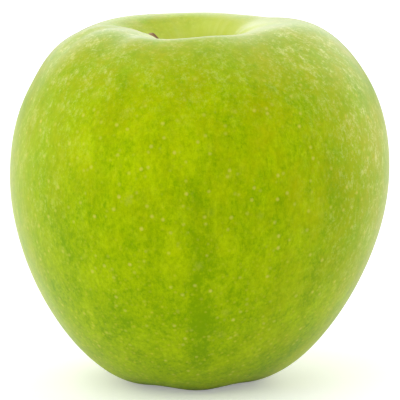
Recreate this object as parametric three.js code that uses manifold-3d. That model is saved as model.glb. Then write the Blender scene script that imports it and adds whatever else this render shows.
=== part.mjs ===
// A green apple standing on the low lobes of its base. It is three pieces that grew together:
// the fruit, the woody stem in its deep cavity, and the dried calyx in the basin underneath.
// Millimetres, +Z up, front towards -Y, origin on the standing plane under the middle of the fruit.
import * as THREE from "three";
import { mergeVertices } from "three/addons/utils/BufferGeometryUtils.js";
import Module from "manifold-3d";

// ---- Fruit: the outline, read as radius from the core line and height above the standing plane ----
const GIRTH_RADIUS = 38; // the widest ring
const GIRTH_HEIGHT = 42.85;
const CROWN_RADIUS = 18.29; // crest round the stem cavity
const CROWN_HEIGHT = 72;
const CROWN_LOW = 60; // where the wandering of the crest fades out on the shoulder
const CAVITY_FLOOR = 56; // where the cavity wall meets the stem
const FOOT_RADIUS = 9.8; // low crest round the calyx basin
const BASIN_FLOOR = 8; // where the basin wall meets the calyx
const FOOT_FLAT = 0.25; // pressed off the lowest lobes, so that the fruit stands
const LEAN = 0.019; // sideways drift of the core line per mm of height
const HANDLES = {
  basin: { out: 2.3, down: 0.6, in: 4.4 },
  cheek: { out: 13.3, up: 0.6, down: 19.6 },
  shoulder: { up: 18.6, out: 8.2 },
  cavity: { in: 10.7, out: 4, up: 1 },
}; // how far each bend of the outline is held level, upright or sloping

// ---- Fruit: how the outline swells round the core line ----
const BASE_LOBES = { count: 5, facing: -84, swell: 0.017, taper: 5, lift: 0.55, reach: 3.5 };
const CROWN_WAVES = [
  { count: 1, rise: 0.29, facing: 49 },
  { count: 2, rise: 0.37, facing: 33 },
  { count: 3, rise: 0.39, facing: -30 },
  { count: 4, rise: 0.34, facing: 21 },
  { count: 5, rise: 0.28, facing: -10 },
  { count: 6, rise: 0.15, facing: 25 },
];
const CROWN_DRIFTS = [
  { count: 1, drift: 1.87, facing: 162 },
  { count: 2, drift: 0.67, facing: 8 },
  { count: 3, drift: 1.41, facing: 18 },
  { count: 4, drift: 0.18, facing: 22 },
]; // the crest wanders nearer to the core line and away from it
const CROWN_RIDGES = [
  { facing: -40, rise: 0.23, before: 21, after: 44 },
  { facing: -123, rise: 0.62, before: 8, after: 25 },
  { facing: 43, rise: -0.16, before: 7, after: 7 },
  { facing: -157, rise: -0.87, before: 8, after: 40 },
]; // soft ridges of the crest, and creases where the rise is negative
const CROWN_SHELVES = [
  { facing: -154, inward: 2.74, before: 28, after: 32 },
  { facing: 9, inward: 4.26, before: 24, after: 40 },
]; // where the cavity wall comes in under the crest
const FRONT_LIP = { facing: -88, rise: 0.42, before: 42, after: 36, width: 2.1 };
const SHELF_SHARE = 9.5; // scales a shelf to its full size half-way down the wall
const GIRTH_WAVES = [
  { count: 2, swell: 0.001, facing: 90 },
  { count: 3, swell: 0.018, facing: -7 },
];
const SEGMENTS = 84; // meridians
const RINGS = {
  basin: { steps: 11, pace: 0.6 },
  cheek: { steps: 16, pace: 1.4 },
  shoulder: { steps: 11, pace: 0.75 },
  cavity: { steps: 14, pace: 1.25 },
}; // a pace above 1 crowds the rings at the start of their stretch, one below 1 at its end

// ---- Stem and calyx ----
const GAP = 0.3; // clearance of a grown-in piece in its seat
const STEM_SEAT = 4; // depth of the stem's root below the cavity floor
const STEM_RADIUS = 1.15;
const STEM_ROOT_RADIUS = 1.5;
const STEM_TIP_RADIUS = 1.45; // swollen scar where it left the twig
const STEM_SCAR_EDGE = 0.4; // how far the rim of the scar is rounded off
const STEM_BENDS = [
  [0, 0, 6],
  [-5.7, 1.7, 9.5],
  [-10.1, 3, 13.4],
]; // its handles and its tip, from the middle of the cavity floor
const STEM_FADES = { root: [0.15, 0.4], tip: [0.72, 0.95], rim: [0.955, 1] }; // as shares of its length
const CALYX_RADIUS = 2.4; // the cup that carries the sepals
const CALYX_SEAT = 1.6; // depth of the cup above the basin floor
const CALYX_CUP_LIP = 0.4; // how far the cup stands proud of its seat
const SEPALS = { count: 5, facing: -47, halfWidth: 1.75, halfDepth: 0.36 };
const SEPAL_POINT = { loss: 0.85, taper: 1.6, thinning: 0.15 }; // how a sepal narrows and thins
const SEPAL_BENDS = [
  [-0.6, 0.6],
  [1.4, -2.2],
  [-1.9, -4],
  [0.9, -5.6],
]; // outwards from the cup's edge, and upwards from its seat
const STAMENS = { count: 9, ring: 1.25, radius: 0.3, length: 4.2, splay: 0.9, pinch: 0.27, seed: 7 };

const wasm = await Module();
wasm.setup();

/** Cosine of the angle between two bearings in degrees, taken count times round the circle. */
function wave(bearing, { count, facing }) {
  return Math.cos(count * THREE.MathUtils.degToRad(bearing - facing));
}

/** A soft ridge or crease at one bearing, with a width of its own on each side of it. */
function hump(bearing, { facing, before, after }) {
  const aside = THREE.MathUtils.euclideanModulo(bearing - facing + 180, 360) - 180;
  return Math.exp(-((aside / (aside < 0 ? before : after)) ** 2));
}

/** The sum over a list of features of one of their sizes times their shape at a bearing. */
function total(features, size, shape, bearing) {
  return features.reduce((sum, feature) => sum + feature[size] * shape(bearing, feature), 0);
}

/** Sideways place of the leaning core line at a height. */
function coreAt(height) {
  return LEAN * (height - GIRTH_HEIGHT);
}

/** A cubic stretch of outline as points, without its last one. */
function stretch({ steps, pace }, ...corners) {
  const curve = new THREE.CubicBezierCurve(...corners.map(([r, z]) => new THREE.Vector2(r, z)));
  return Array.from({ length: steps }, (_, step) => curve.getPoint((step / steps) ** pace));
}

/** The closed outline, from the calyx seat out over foot, cheek and crown to the stem seat. */
function outline() {
  const { basin, cheek, shoulder, cavity } = HANDLES;
  const calyxSeat = CALYX_RADIUS + GAP;
  const stemSeat = STEM_ROOT_RADIUS + GAP;
  return [
    new THREE.Vector2(0, BASIN_FLOOR + CALYX_SEAT),
    new THREE.Vector2(calyxSeat, BASIN_FLOOR + CALYX_SEAT),
    ...stretch(
      RINGS.basin,
      [calyxSeat, BASIN_FLOOR],
      [calyxSeat + basin.out, BASIN_FLOOR - basin.down],
      [FOOT_RADIUS - basin.in, 0],
      [FOOT_RADIUS, 0],
    ),
    ...stretch(
      RINGS.cheek,
      [FOOT_RADIUS, 0],
      [FOOT_RADIUS + cheek.out, cheek.up],
      [GIRTH_RADIUS, GIRTH_HEIGHT - cheek.down],
      [GIRTH_RADIUS, GIRTH_HEIGHT],
    ),
    ...stretch(
      RINGS.shoulder,
      [GIRTH_RADIUS, GIRTH_HEIGHT],
      [GIRTH_RADIUS, GIRTH_HEIGHT + shoulder.up],
      [CROWN_RADIUS + shoulder.out, CROWN_HEIGHT],
      [CROWN_RADIUS, CROWN_HEIGHT],
    ),
    ...stretch(
      RINGS.cavity,
      [CROWN_RADIUS, CROWN_HEIGHT],
      [CROWN_RADIUS - cavity.in, CROWN_HEIGHT],
      [stemSeat + cavity.out, CAVITY_FLOOR + cavity.up],
      [stemSeat, CAVITY_FLOOR],
    ),
    new THREE.Vector2(stemSeat, CAVITY_FLOOR),
    new THREE.Vector2(stemSeat, CAVITY_FLOOR - STEM_SEAT),
    new THREE.Vector2(0, CAVITY_FLOOR - STEM_SEAT),
  ];
}

/** Moves a point of the plain turned fruit to its place on the lobed, waved and leaning one. */
function grow(point) {
  const radius = Math.hypot(point.x, point.y);
  const bearing = THREE.MathUtils.radToDeg(Math.atan2(point.y, point.x));
  const upper = point.z > GIRTH_HEIGHT;
  const inCavity = upper && radius < CROWN_RADIUS;
  const inBasin = !upper && radius < FOOT_RADIUS;
  const fromCore = THREE.MathUtils.smoothstep(radius, 0, inCavity ? CROWN_RADIUS : FOOT_RADIUS);
  const crown = inCavity ? fromCore : THREE.MathUtils.smoothstep(point.z, GIRTH_HEIGHT, CROWN_HEIGHT);
  const crest = inCavity ? fromCore : THREE.MathUtils.smoothstep(point.z, CROWN_LOW, CROWN_HEIGHT);
  const base = inBasin ? fromCore : 1 - THREE.MathUtils.smoothstep(point.z, 0, GIRTH_HEIGHT);
  const foot = inBasin ? fromCore : 1 - THREE.MathUtils.smoothstep(point.z, 0, BASE_LOBES.reach);

  const lobe = wave(bearing, BASE_LOBES);
  let swell = 1 + BASE_LOBES.swell * lobe * base ** BASE_LOBES.taper;
  swell += total(GIRTH_WAVES, "swell", wave, bearing) * (inCavity || inBasin ? fromCore : 1);
  let drift = crest * total(CROWN_DRIFTS, "drift", wave, bearing);
  if (inCavity) {
    const share = SHELF_SHARE * fromCore ** 3 * (1 - fromCore);
    drift -= share * total(CROWN_SHELVES, "inward", hump, bearing);
  }

  let height = point.z + (foot * BASE_LOBES.lift * (1 - lobe)) / 2;
  height += crown * total(CROWN_WAVES, "rise", wave, bearing);
  height += crest * total(CROWN_RIDGES, "rise", hump, bearing);
  if (upper) {
    const across = (radius - CROWN_RADIUS) / FRONT_LIP.width;
    height += FRONT_LIP.rise * hump(bearing, FRONT_LIP) * Math.exp(-across * across);
  }

  const spread = swell + drift / Math.max(radius, GAP);
  return point.set(point.x * spread + coreAt(height), point.y * spread, Math.max(height - FOOT_FLAT, 0));
}

/** Welds a geometry by position alone, which closes seams and poles. */
function weld(geometry) {
  geometry.deleteAttribute("normal");
  geometry.deleteAttribute("uv");
  return mergeVertices(geometry, 1e-3);
}

/** Puts every vertex of a geometry through a function that moves it. */
function reshape(geometry, move) {
  const position = geometry.getAttribute("position");
  const point = new THREE.Vector3();
  for (let i = 0; i < position.count; i += 1) {
    move(point.fromBufferAttribute(position, i));
    position.setXYZ(i, point.x, point.y, point.z);
  }
  return geometry;
}

/** A closed tapering rod or blade: an upright unit cylinder laid along a path. */
function sweep(path, { across, sides, steps, halfWidth, halfDepth }) {
  const rod = new THREE.CylinderGeometry(1, 1, 1, sides, steps);
  return reshape(rod, (point) => {
    const along = point.y + 0.5;
    const tangent = path.getTangentAt(along);
    const wide = across.clone().addScaledVector(tangent, -across.dot(tangent)).normalize();
    const deep = wide.clone().cross(tangent);
    const [w, d] = [point.x * halfWidth(along), point.z * halfDepth(along)];
    point.copy(path.getPointAt(along)).addScaledVector(wide, w).addScaledVector(deep, d);
  });
}

/** A geometry as a solid that can be joined. */
function solidOf(geometry) {
  const { index, attributes } = weld(geometry);
  const mesh = new wasm.Mesh({
    numProp: 3,
    vertProperties: attributes.position.array,
    triVerts: new Uint32Array(index.array),
  });
  return new wasm.Manifold(mesh);
}

/** Several closed geometries joined into one. */
function fuse(geometries) {
  const whole = geometries.map(solidOf).reduce((joined, solid) => joined.add(solid));
  const { vertProperties, triVerts } = whole.getMesh();
  return new THREE.BufferGeometry()
    .setAttribute("position", new THREE.BufferAttribute(vertProperties, 3))
    .setIndex(new THREE.BufferAttribute(triVerts, 1));
}

/** The flesh and skin, grown as one solid. */
function fruitGeometry() {
  const turned = new THREE.LatheGeometry(outline(), SEGMENTS).rotateX(Math.PI / 2);
  return weld(reshape(turned, grow));
}

/** The stem, from its root in the fruit, bending over to the left, to the swollen scar at its tip. */
function stemGeometry() {
  const bends = STEM_BENDS.map((bend) => new THREE.Vector3(...bend));
  const path = new THREE.CubicBezierCurve3(new THREE.Vector3(0, 0, GAP - STEM_SEAT), ...bends);
  const fade = (along, [from, to]) => THREE.MathUtils.smoothstep(along, from, to);
  const thickness = (along) =>
    STEM_RADIUS +
    (STEM_ROOT_RADIUS - STEM_RADIUS) * (1 - fade(along, STEM_FADES.root)) +
    (STEM_TIP_RADIUS - STEM_RADIUS) * fade(along, STEM_FADES.tip) -
    STEM_SCAR_EDGE * fade(along, STEM_FADES.rim);
  const across = new THREE.Vector3(0, 1, 0);
  return sweep(path, { across, sides: 14, steps: 26, halfWidth: thickness, halfDepth: thickness });
}

/** One sepal: a pointed blade that bulges, leans in to close the eye and curls out at its tip. */
function sepalGeometry(bearing) {
  const { loss, taper, thinning } = SEPAL_POINT;
  const bends = SEPAL_BENDS.map(([out, up]) => new THREE.Vector3(CALYX_RADIUS + out, 0, up));
  return sweep(new THREE.CubicBezierCurve3(...bends), {
    across: new THREE.Vector3(0, 1, 0),
    sides: 8,
    steps: 10,
    halfWidth: (along) => SEPALS.halfWidth * (1 - loss * along ** taper),
    halfDepth: (along) => SEPALS.halfDepth * (1 - thinning * along),
  }).rotateZ(bearing);
}

/** One dried stamen: a thin thread that splays a little from its neighbours. */
function stamenGeometry(number) {
  const { count, ring, radius, length, splay, pinch, seed } = STAMENS;
  const bearing = (2 * Math.PI * number) / count;
  const draw = (n) => THREE.MathUtils.seededRandom(seed + 10 * number + n) - 0.5;
  const root = new THREE.Vector3(ring * Math.cos(bearing), ring * Math.sin(bearing), CALYX_CUP_LIP);
  const middle = root.clone().setZ(CALYX_CUP_LIP - length / 2);
  const tip = middle.clone().multiplyScalar(1 - pinch);
  tip.add(new THREE.Vector3(splay * draw(1), splay * draw(2), -length / 2));
  const path = new THREE.QuadraticBezierCurve3(root, middle, tip);
  const across = new THREE.Vector3(0, 1, 0);
  return sweep(path, { across, sides: 5, steps: 3, halfWidth: () => radius, halfDepth: () => radius });
}

/** The calyx: the cup, the sepals that close over the eye, and the dried stamens between them. */
function calyxGeometry() {
  const [top, bottom] = [CALYX_SEAT - GAP, -CALYX_CUP_LIP];
  const cup = new THREE.CylinderGeometry(CALYX_RADIUS, CALYX_RADIUS, top - bottom, 40);
  cup.rotateX(Math.PI / 2).translate(0, 0, (top + bottom) / 2);
  const pieces = [cup];
  for (let number = 0; number < SEPALS.count; number += 1) {
    pieces.push(sepalGeometry(THREE.MathUtils.degToRad(SEPALS.facing + (360 * number) / SEPALS.count)));
  }
  for (let number = 0; number < STAMENS.count; number += 1) pieces.push(stamenGeometry(number));
  return fuse(pieces);
}

/** A named piece with its own finish. */
function piece(name, geometry, finish) {
  const mesh = new THREE.Mesh(geometry, new THREE.MeshStandardMaterial({ metalness: 0, ...finish }));
  mesh.name = name;
  return mesh;
}

const apple = new THREE.Group();
const fruit = piece("fruit", fruitGeometry(), { color: 0xa1ba14, roughness: 0.38 });
const stem = piece("stem", stemGeometry(), { color: 0x6b4a2c, roughness: 0.85 });
stem.position.set(coreAt(CAVITY_FLOOR), 0, CAVITY_FLOOR - FOOT_FLAT);
const calyx = piece("calyx", calyxGeometry(), { color: 0x5c4a34, roughness: 0.9 });
calyx.position.set(coreAt(BASIN_FLOOR), 0, BASIN_FLOOR - FOOT_FLAT);
apple.add(fruit, stem, calyx);

// The origin goes under the middle of the fruit.
const middle = new THREE.Box3().setFromObject(fruit).getCenter(new THREE.Vector3());
apple.position.set(-middle.x, -middle.y, 0);

export default apple;
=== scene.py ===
"""Looks of a green apple: its waxy skin, its woody stem and its dried calyx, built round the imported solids.

Lengths are millimetres until a mesh is finished, and metres after that. Heights are above the standing plane.
"""

import logging
import math
import random
from collections.abc import Callable, Sequence
from dataclasses import dataclass, field
from enum import Enum

import bmesh
import bpy
from mathutils import Matrix, Vector, noise
from mathutils.geometry import interpolate_bezier


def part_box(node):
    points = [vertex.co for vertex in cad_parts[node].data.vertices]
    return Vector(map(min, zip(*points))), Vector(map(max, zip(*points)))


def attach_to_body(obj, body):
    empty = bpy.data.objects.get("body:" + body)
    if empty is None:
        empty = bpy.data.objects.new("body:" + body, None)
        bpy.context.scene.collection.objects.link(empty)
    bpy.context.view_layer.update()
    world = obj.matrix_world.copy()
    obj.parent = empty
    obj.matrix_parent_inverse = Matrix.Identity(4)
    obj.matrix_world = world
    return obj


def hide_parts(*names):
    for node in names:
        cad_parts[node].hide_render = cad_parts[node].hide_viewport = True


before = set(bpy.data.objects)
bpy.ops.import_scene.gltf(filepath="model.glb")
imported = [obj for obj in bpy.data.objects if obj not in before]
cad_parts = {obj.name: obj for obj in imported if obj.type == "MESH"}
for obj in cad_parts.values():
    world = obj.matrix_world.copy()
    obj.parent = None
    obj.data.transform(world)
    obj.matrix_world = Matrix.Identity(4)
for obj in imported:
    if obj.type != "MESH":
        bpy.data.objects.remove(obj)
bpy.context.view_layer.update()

MM = 0.001
TURN = 2 * math.pi
SEAM = 1e-4  # how near, in millimetres, the two sides of a seam lie
WHITE = (1.0, 1.0, 1.0, 1.0)
LOG = logging.getLogger("apple")

Colour = tuple[float, float, float]
Span = tuple[float, float]


class Slot(Enum):
    """The finishes that the record names."""

    SKIN = "skin"
    STEM = "stem"
    CALYX = "calyx"


# ---------------------------------------------------------------- numbers and curves


def smoothstep(value: float, low: float, high: float) -> float:
    """A soft rise from 0 at low to 1 at high, which may be the smaller."""
    part = min(max((value - low) / (high - low), 0.0), 1.0)
    return part * part * (3 - 2 * part)


@dataclass(frozen=True)
class Wave:
    """A wave round the circle: its count, its size and a bearing in degrees where it is highest."""

    count: int
    size: float
    facing: float

    def at(self, bearing: float) -> float:
        """Height of the wave at a bearing."""
        return self.size * math.cos(self.count * math.radians(bearing - self.facing))


@dataclass(frozen=True)
class Ridge:
    """A soft ridge at one bearing, or a crease where its size is negative.

    Its width on each side is in degrees.
    """

    facing: float
    size: float
    before: float
    after: float

    def at(self, bearing: float) -> float:
        """Height of the ridge at a bearing."""
        aside = (bearing - self.facing + 180) % 360 - 180
        return self.size * math.exp(-((aside / (self.before if aside < 0 else self.after)) ** 2))


@dataclass(frozen=True)
class Relief:
    """Soft bumps: their width and height, how far they stand out, and a shift that sets them apart."""

    sideways: float
    upwards: float
    size: float
    shift: float = 0.0

    def at(self, place: Vector, height: float) -> float:
        """Height of the bumps at a place, given its sideways coordinates and its height."""
        plan = (place.x / self.sideways, place.y / self.sideways)
        return noise.noise(Vector((*plan, height / self.upwards + self.shift))) * self.size


def total(forms: Sequence[Wave | Ridge], bearing: float) -> float:
    """The height of several waves or ridges at a bearing."""
    return sum(form.at(bearing) for form in forms)


def bezier(corners: Sequence[Vector], along: float) -> Vector:
    """The point of a cubic curve.

    Args:
        corners: the four corners of the curve.
        along: the fraction of the way along it.

    Returns:
        The point.
    """
    back = 1 - along
    shares = (back**3, 3 * back * back * along, 3 * back * along * along, along**3)
    return sum((corner * share for corner, share in zip(corners, shares, strict=True)), Vector())


def bezier_heading(corners: Sequence[Vector], along: float, step: float = 1e-3) -> Vector:
    """The direction of a cubic curve.

    Args:
        corners: the four corners of the curve.
        along: the fraction of the way along it.
        step: the fraction to either side between which the direction is taken.

    Returns:
        The unit tangent.
    """
    ahead = bezier(corners, min(along + step, 1.0))
    behind = bezier(corners, max(along - step, 0.0))
    return (ahead - behind).normalized()


# ---------------------------------------------------------------- meshes


def finish_mesh(mesh: bmesh.types.BMesh, name: str, weld: float = 0.002) -> bpy.types.Object:
    """Closes a mesh that was shaped in millimetres and links it to the scene in metres.

    Args:
        mesh: the shaped mesh, which is freed.
        name: the piece's name.
        weld: the distance in millimetres under which vertices become one.

    Returns:
        The new object, at the origin.
    """
    bmesh.ops.remove_doubles(mesh, verts=mesh.verts, dist=weld)
    bmesh.ops.recalc_face_normals(mesh, faces=mesh.faces)
    bmesh.ops.scale(mesh, vec=(MM, MM, MM), verts=mesh.verts)
    for face in mesh.faces:
        face.smooth = True
    data = bpy.data.meshes.new(name)
    mesh.to_mesh(data)
    mesh.free()
    piece = bpy.data.objects.new(name, data)
    bpy.context.scene.collection.objects.link(piece)
    return piece


def add_tube(
    mesh: bmesh.types.BMesh,
    corners: Sequence[Vector],
    radius: Callable[[float, float], float],
    sides: int,
    steps: int,
) -> None:
    """Adds a closed round rod along a cubic curve, made from a grid that is rolled up.

    Args:
        mesh: the mesh that takes the rod, with a UV layer if the rod needs one.
        corners: the four corners of the curve.
        radius: gives the radius from the fraction along and the angle round, in radians.
        sides: faces round the rod.
        steps: faces along the rod.
    """
    made = bmesh.ops.create_grid(mesh, x_segments=steps, y_segments=sides, size=0.5, calc_uvs=True)
    verts = made["verts"]
    side = Vector((0, 1, 0))
    for vert in verts:
        along = vert.co.x + 0.5
        angle = (vert.co.y + 0.5) * TURN
        heading = bezier_heading(corners, along)
        across = (side - heading * side.dot(heading)).normalized()
        out = across * math.cos(angle) + heading.cross(across) * math.sin(angle)
        vert.co = bezier(corners, along) + out * radius(along, angle)
    bmesh.ops.remove_doubles(mesh, verts=verts, dist=SEAM)
    rims = {edge for vert in verts if vert.is_valid for edge in vert.link_edges if edge.is_boundary}
    bmesh.ops.holes_fill(mesh, edges=list(rims), sides=sides)


def add_blade(
    mesh: bmesh.types.BMesh,
    corners: Sequence[Vector],
    half_width: Callable[[float], float],
    cup: Callable[[float], float],
    turned: float,
) -> None:
    """Adds a thin leaf along a cubic curve in the XZ plane, then turns it round the Z axis.

    Args:
        mesh: the mesh that takes the leaf.
        corners: the four corners of its midrib.
        half_width: gives half of its width from the fraction along.
        cup: gives how far its edges stand off the midrib's line from the fraction along.
        turned: the angle round Z, in radians.
    """
    made = bmesh.ops.create_grid(mesh, x_segments=12, y_segments=6, size=0.5, calc_uvs=True)
    side = Vector((0, 1, 0))
    for vert in made["verts"]:
        along, across = vert.co.x + 0.5, vert.co.y * 2
        heading = bezier_heading(corners, along)
        off = heading.cross(side) * cup(along) * across * across
        vert.co = bezier(corners, along) + side * across * half_width(along) + off
    bmesh.ops.rotate(mesh, verts=made["verts"], cent=(0, 0, 0), matrix=Matrix.Rotation(turned, 3, "Z"))


def add_modifiers(piece: bpy.types.Object, thickness: float = 0.0, levels: int = 1) -> None:
    """Gives a sheet its thickness and smooths the piece.

    Args:
        piece: the piece.
        thickness: the sheet's thickness in millimetres, or none for a solid piece.
        levels: how many times its faces are divided.
    """
    if thickness:
        solid = piece.modifiers.new("thickness", "SOLIDIFY")
        solid.thickness = thickness * MM
        solid.offset = 0
    smooth = piece.modifiers.new("smooth", "SUBSURF")
    smooth.levels = levels
    smooth.render_levels = levels


def attach(piece: bpy.types.Object, replaced: Sequence[str] = ()) -> None:
    """Says which body carries a piece and which solids it stands for.

    Args:
        piece: the piece.
        replaced: the names of the solids that it is shown for.
    """
    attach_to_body(piece, "root")
    if replaced:
        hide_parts(*replaced)


# ---------------------------------------------------------------- shader nodes


@dataclass(frozen=True)
class Tier:
    """A soft rise between two places, times a gain. The place where it is full may be the smaller."""

    start: float
    full: float
    gain: float = 1.0


@dataclass(frozen=True)
class Grain:
    """A noise pattern: the width and height of its blobs, its detail, and a shift that sets it apart."""

    wide: float
    tall: float
    detail: float = 2.0
    roughness: float = 0.5
    shift: float = 0.0


class Value:
    """A number or vector that changes over a surface, as a node socket that takes part in expressions."""

    def __init__(self, nodes: "NodeTree", socket: bpy.types.NodeSocket) -> None:
        """Wraps one output socket."""
        self.nodes = nodes
        self.socket = socket

    def __add__(self, other: "Value | float") -> "Value":
        """Sum."""
        return self.nodes.math("ADD", self, other)

    def __radd__(self, other: float) -> "Value":
        """Sum with a plain number first."""
        return self.nodes.math("ADD", other, self)

    def __sub__(self, other: "Value | float") -> "Value":
        """Difference."""
        return self.nodes.math("SUBTRACT", self, other)

    def __rsub__(self, other: float) -> "Value":
        """Difference with a plain number first."""
        return self.nodes.math("SUBTRACT", other, self)

    def __mul__(self, other: "Value | float") -> "Value":
        """Product."""
        return self.nodes.math("MULTIPLY", self, other)

    def __rmul__(self, other: float) -> "Value":
        """Product with a plain number first."""
        return self.nodes.math("MULTIPLY", other, self)

    def __truediv__(self, other: "Value | float") -> "Value":
        """Quotient."""
        return self.nodes.math("DIVIDE", self, other)

    def __rtruediv__(self, other: float) -> "Value":
        """Quotient with a plain number first."""
        return self.nodes.math("DIVIDE", other, self)

    def __pow__(self, other: "Value | float") -> "Value":
        """Power."""
        return self.nodes.math("POWER", self, other)

    def __rpow__(self, other: float) -> "Value":
        """Power with a plain number first."""
        return self.nodes.math("POWER", other, self)


class NodeTree:
    """The nodes of a material or of the world, under construction."""

    def __init__(self, tree: bpy.types.NodeTree) -> None:
        """Starts with an empty tree."""
        self.tree = tree
        self.tree.nodes.clear()

    def node(self, kind: str, settings: dict | None = None, inputs: dict | None = None) -> bpy.types.Node:
        """Adds a node.

        Args:
            kind: the node's type, without the leading ShaderNode.
            settings: its attributes.
            inputs: values or links by socket name or number.

        Returns:
            The node.
        """
        node = self.tree.nodes.new("ShaderNode" + kind)
        for key, setting in (settings or {}).items():
            setattr(node, key, setting)
        for key, value in (inputs or {}).items():
            if isinstance(value, Value):
                self.tree.links.new(value.socket, node.inputs[key])
            else:
                node.inputs[key].default_value = value
        return node

    def value(self, node: bpy.types.Node, output: int | str = 0) -> Value:
        """Wraps an output of a node."""
        return Value(self, node.outputs[output])

    def math(self, operation: str, *terms: Value | float) -> Value:
        """Adds a Math node."""
        return self.value(self.node("Math", {"operation": operation}, dict(enumerate(terms))))

    def by_sight(self, lighting: Value, seen: Value) -> Value:
        """Shows one shader to the camera and another to everything that it lights."""
        on_camera = self.value(self.node("LightPath"), "Is Camera Ray")
        return self.value(self.node("MixShader", inputs={0: on_camera, 1: lighting, 2: seen}))


class Shader(NodeTree):
    """A material under construction."""

    def __init__(self, name: str) -> None:
        """Starts an empty node material.

        Args:
            name: the material's name.
        """
        self.material = bpy.data.materials.new(name)
        self.material.use_nodes = True
        super().__init__(self.material.node_tree)

    def vector(self, x: Value | float, y: Value | float, z: Value | float) -> Value:
        """Joins three numbers to a vector."""
        return self.value(self.node("CombineXYZ", inputs={0: x, 1: y, 2: z}))

    def position(self) -> tuple[Value, Value, Value]:
        """Reads the place on the object.

        Returns:
            The three coordinates in millimetres.
        """
        place = self.value(self.node("TexCoord"), "Object")
        scaled = self.node("VectorMath", {"operation": "SCALE"}, {0: place, "Scale": 1 / MM})
        split = self.node("SeparateXYZ", inputs={0: self.value(scaled)})
        return self.value(split, 0), self.value(split, 1), self.value(split, 2)

    def ramp(self, value: Value, low: float, high: float) -> Value:
        """Adds a soft rise.

        Args:
            value: what it follows.
            low: where the result is 0.
            high: where it is 1, which may be the smaller.

        Returns:
            The result.
        """
        settings = {"interpolation_type": "SMOOTHSTEP"}
        if low <= high:
            return self.value(self.node("MapRange", settings, {"Value": value, 1: low, 2: high}))
        return 1 - self.value(self.node("MapRange", settings, {"Value": value, 1: high, 2: low}))

    def tier(self, value: Value, tier: Tier) -> Value:
        """Adds a soft rise that has a gain."""
        return self.ramp(value, tier.start, tier.full) * tier.gain

    def span(self, value: Value, low: float, high: float) -> Value:
        """A straight rise from 0 where the value is low to 1 where it is high."""
        return self.value(self.node("MapRange", inputs={"Value": value, 1: low, 2: high}))

    def weighted(self, values: Sequence[Value], weights: Sequence[float]) -> Value:
        """The sum of some values, each times its weight."""
        return sum(value * weight for value, weight in zip(values, weights, strict=True))

    def noise(self, place: Value, grain: Grain) -> Value:
        """Adds fractal noise.

        Args:
            place: where to look, in units of one blob.
            grain: the pattern, for its detail, roughness and shift.

        Returns:
            The noise, which runs round zero and mostly stays within 0.5 of it.
        """
        moved = self.node("VectorMath", {"operation": "ADD"}, {0: place, 1: (grain.shift,) * 3})
        inputs = {"Scale": 1.0, "Detail": grain.detail, "Roughness": grain.roughness}
        pattern = self.node("TexNoise", inputs={"Vector": self.value(moved)} | inputs)
        return (self.value(pattern) - 0.5) * 2

    def cells(self, place: Value) -> tuple[Value, Value]:
        """Scattered points, about one to each unit cube.

        Args:
            place: where to look.

        Returns:
            The distance to the nearest point, and that point's own random number from 0 to 1.
        """
        node = self.node("TexVoronoi", inputs={"Vector": place, "Scale": 1.0})
        lot = self.node("SeparateXYZ", inputs={0: self.value(node, "Color")})
        return self.value(node, "Distance"), self.value(lot)

    def mix(self, factor: Value | float, first: Value | Colour, second: Value | Colour) -> Value:
        """Blends two colours.

        Args:
            factor: how much of the second colour shows.
            first: the first colour.
            second: the second colour.

        Returns:
            The blend.
        """
        colours = [c if isinstance(c, Value) else (*c, 1.0) for c in (first, second)]
        node = self.node("Mix", {"data_type": "RGBA"}, {0: factor, 6: colours[0], 7: colours[1]})
        return self.value(node, 2)

    def bump(self, height: Value, depth: float, strength: float) -> Value:
        """Tilts the surface by a height field whose unit is depth millimetres."""
        inputs = {"Strength": strength, "Distance": depth * MM, "Height": height}
        return self.value(self.node("Bump", inputs=inputs))

    def finish(self, **inputs: Value | Colour | float) -> bpy.types.Material:
        """Closes the material with a Principled surface.

        Args:
            inputs: the shader's sockets, with an underscore for each space in their names.

        Returns:
            The material.
        """
        named = {}
        for key, value in inputs.items():
            is_colour = isinstance(value, tuple) and not key.endswith("Radius")
            named[key.replace("_", " ")] = (*value, 1.0) if is_colour else value
        return self.close(self.value(self.node("BsdfPrincipled", inputs=named)))

    def close(self, surface: Value) -> bpy.types.Material:
        """Gives the material its surface and hands it over."""
        self.node("OutputMaterial", inputs={"Surface": surface})
        return self.material


# ---------------------------------------------------------------- finishes


@dataclass(frozen=True)
class Band:
    """A darker meridional stripe of the skin, between two heights, or a wide band of painted shade."""

    facing: float
    half_width: float
    strength: float
    low: float
    high: float
    edges: Span = (2.4, 0.2)
    fade: Span = (6.0, 8.0)

    def amount(self, place: "SkinPlace") -> Value:
        """How strongly the stripe darkens a place.

        Args:
            place: the place on the skin.

        Returns:
            The stripe's strength there.
        """
        angle = math.radians(self.facing)
        facing = place.east * math.cos(angle) + place.north * math.sin(angle)
        edges = [math.cos(math.radians(self.half_width * share)) for share in self.edges]
        below, within = self.fade
        rise = place.shader.ramp(place.z, self.low - below, self.low + within)
        fall = place.shader.ramp(place.z, self.high + within, self.high - within)
        return place.shader.ramp(facing, *edges) * rise * fall * (1 + place.streak) * self.strength


@dataclass(frozen=True)
class Spots:
    """Scattered pale spots: their spacing in millimetres, their reach as a share of it, and their opacity."""

    spacing: float
    reach: Span
    opacity: float = 1.0

    def amount(self, place: "SkinPlace", waver: Value | float = 0.0) -> tuple[Value, Value]:
        """How much a spot covers a place, outside the crown.

        Args:
            place: the place on the skin.
            waver: what frays the rims.

        Returns:
            The cover, which is full in the middle of a spot, and the spot's own random number from 0 to 1.
        """
        near, kind = place.cells(self.spacing)
        return place.shader.ramp(near + waver, *self.reach) * (1 - place.in_crown), kind


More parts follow.
